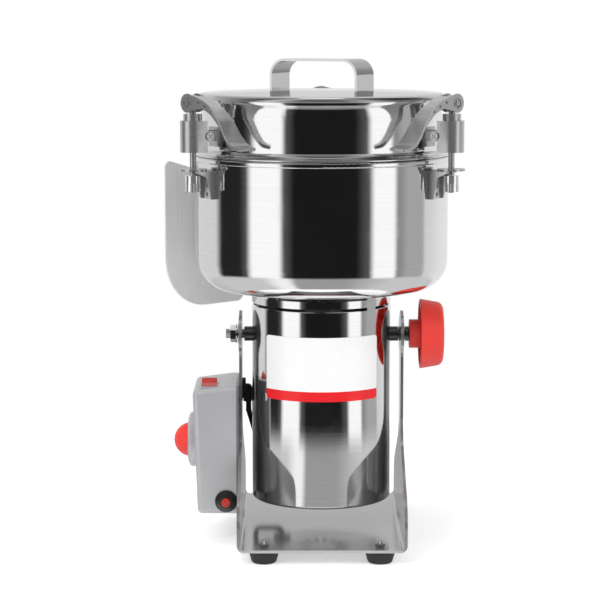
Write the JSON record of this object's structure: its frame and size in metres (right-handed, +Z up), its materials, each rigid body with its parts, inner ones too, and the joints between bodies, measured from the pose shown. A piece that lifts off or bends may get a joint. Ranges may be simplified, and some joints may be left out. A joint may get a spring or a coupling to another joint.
{
  "type": "electric spice grinder",
  "caption": "Tilting electric spice grinder: lidded steel bowl on a motor, hung in a bent sheet cradle with a side control box and clamp knob.",
  "frame": {"origin": "on the motor's vertical axis, in the plane that the four rubber feet stand on", "axes": "+X to the side with the clamp knob, -Y to the front with the label, +Z up along the motor shaft"},
  "size_m": [0.2528, 0.2492, 0.412],
  "materials": {
    "mirror_steel": "mirror-polished stainless steel",
    "satin_steel": "satin stainless steel",
    "brushed_steel": "brushed stainless steel",
    "hardware_steel": "bright zinc-plated steel",
    "dark_washer": "blackened steel",
    "box_grey": "satin silver-grey paint",
    "plate_grey": "grey sheet",
    "red_knob": "glossy red plastic",
    "black_plastic": "black plastic",
    "cream_plastic": "cream plastic",
    "black_rubber": "black rubber",
    "clear_silicone": "pale silicone",
    "label_white": "white label with a red band",
    "cast_aluminium": "cast aluminium",
    "core_iron": "laminated core",
    "copper_wire": "enamelled copper",
    "carbon": "carbon"
  },
  "bodies": {
    "cradle": {"cradle": "brushed_steel", "rubber_feet": "black_rubber", "foot_screws": "hardware_steel", "control_box": "box_grey", "box_back_plate": "plate_grey", "box_screws": "hardware_steel", "timer_dial": "box_grey", "timer_unit": "black_plastic", "switch_frame": "box_grey", "reset_switch": "black_plastic", "terminal_block": "cream_plastic", "cord_gland": "black_plastic", "lead_grommet": "black_rubber"},
    "timer": {"timer_knob": "red_knob", "timer_spindle": "hardware_steel"},
    "rocker": {"power_rocker": "red_knob"},
    "reset": {"reset_button": "red_knob"},
    "grinder": {"motor_housing": "mirror_steel", "vent_collar": "mirror_steel", "end_bells": "cast_aluminium", "stator_core": "core_iron", "field_windings": "copper_wire", "carbon_brushes": "carbon", "motor_bearings": "hardware_steel", "motor_gland": "black_plastic", "motor_lead": "black_rubber", "label_plate": "label_white", "trunnion_bosses": "hardware_steel", "trunnion_studs": "hardware_steel", "pivot_spacers": "dark_washer", "trunnion_nut": "hardware_steel", "knob_washer": "dark_washer", "bowl_shell": "mirror_steel", "bowl_base_ring": "cast_aluminium", "grinding_chamber": "brushed_steel", "bowl_rim": "mirror_steel", "latch_brackets": "satin_steel", "side_guard": "brushed_steel", "lid_shell": "mirror_steel", "lid_inner_plate": "brushed_steel", "lid_gasket": "clear_silicone", "lid_handle": "mirror_steel", "latch_ears": "satin_steel", "latch_pins": "satin_steel"},
    "rotor": {"motor_shaft": "hardware_steel", "armature": "core_iron", "commutator": "copper_wire", "cooling_fan": "black_plastic", "blade_hub": "hardware_steel", "lower_blade": "hardware_steel", "upper_blade": "hardware_steel", "blade_nut": "hardware_steel"},
    "knob": {"clamp_knob": "red_knob"},
    "latch_left": {"latch_left": "satin_steel"},
    "lever_left": {"lever_left": "satin_steel"},
    "latch_right": {"latch_right": "satin_steel"},
    "lever_right": {"lever_right": "satin_steel"},
    "latch_rear": {"latch_rear": "satin_steel"},
    "lever_rear": {"lever_rear": "satin_steel"}
  },
  "joints": [
    {"name": "tilt", "type": "hinge", "parent": "cradle", "child": "grinder", "pos_m": [0, 0, 0.1771], "axis": [1, 0, 0], "range_deg": [-40, 90]},
    {"name": "clamp_knob_turn", "type": "hinge", "parent": "grinder", "child": "knob", "pos_m": [0.09, 0, 0.1771], "axis": [1, 0, 0], "range_deg": [0, 360]},
    {"name": "rotor_spin", "type": "hinge", "parent": "grinder", "child": "rotor", "pos_m": [0, 0, 0.12], "axis": [0, 0, 1], "continuous": true},
    {"name": "timer_turn", "type": "hinge", "parent": "cradle", "child": "timer", "pos_m": [-0.116, 0, 0.0848], "axis": [1, 0, 0], "range_deg": [0, 300]},
    {"name": "power_rock", "type": "hinge", "parent": "cradle", "child": "rocker", "pos_m": [-0.0956, -0.019, 0.1342], "axis": [1, 0, 0], "range_deg": [-24, 0]},
    {"name": "reset_press", "type": "slide", "parent": "cradle", "child": "reset", "axis": [0, 1, 0], "range_m": [0, 0.0025], "stiffness_N_per_m": 600},
    {"name": "latch_left_swing", "type": "hinge", "parent": "grinder", "child": "latch_left", "pos_m": [-0.09743, -0.05625, 0.35], "axis": [-0.5, 0.866, 0], "range_deg": [0, 16]},
    {"name": "lever_left_lift", "type": "hinge", "parent": "latch_left", "child": "lever_left", "pos_m": [-0.10609, -0.06125, 0.377], "axis": [-0.7193, -0.6947, 0], "range_deg": [0, 105]},
    {"name": "latch_right_swing", "type": "hinge", "parent": "grinder", "child": "latch_right", "pos_m": [0.09743, -0.05625, 0.35], "axis": [-0.5, -0.866, 0], "range_deg": [0, 16]},
    {"name": "lever_right_lift", "type": "hinge", "parent": "latch_right", "child": "lever_right", "pos_m": [0.10609, -0.06125, 0.377], "axis": [-0.7193, 0.6947, 0], "range_deg": [0, 105]},
    {"name": "latch_rear_swing", "type": "hinge", "parent": "grinder", "child": "latch_rear", "pos_m": [0, 0.1125, 0.35], "axis": [1, 0, 0], "range_deg": [0, 16]},
    {"name": "lever_rear_lift", "type": "hinge", "parent": "latch_rear", "child": "lever_rear", "pos_m": [0, 0.1225, 0.377], "axis": [-0.2419, -0.9703, 0], "range_deg": [0, 105]}
  ]
}
